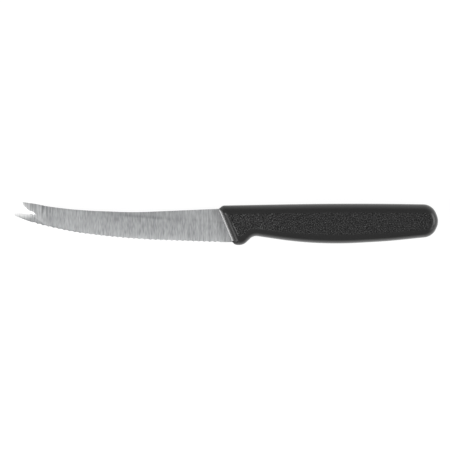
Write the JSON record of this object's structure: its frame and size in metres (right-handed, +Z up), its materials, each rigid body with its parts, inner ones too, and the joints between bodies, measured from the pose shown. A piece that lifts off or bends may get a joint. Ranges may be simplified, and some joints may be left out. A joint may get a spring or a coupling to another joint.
{
  "type": "tomato knife",
  "caption": "Small serrated knife with a forked tip and a straight moulded plastic handle with a finger guard, lying on its side.",
  "frame": {"origin": "middle of the knife's outline, on the surface that the knife lies on", "axes": "+X from the fork to the butt, +Y from the cutting edge to the spine, +Z up through the thickness"},
  "size_m": [0.2201, 0.0228, 0.012],
  "materials": {
    "blade_steel": "cross-ground stainless sheet, satin, with polished bevels round the fork",
    "handle_plastic": "black moulded polypropylene, spark-eroded flanks and smooth rims"
  },
  "bodies": {
    "root": {"blade": "blade_steel", "handle": "handle_plastic"}
  },
  "joints": []
}
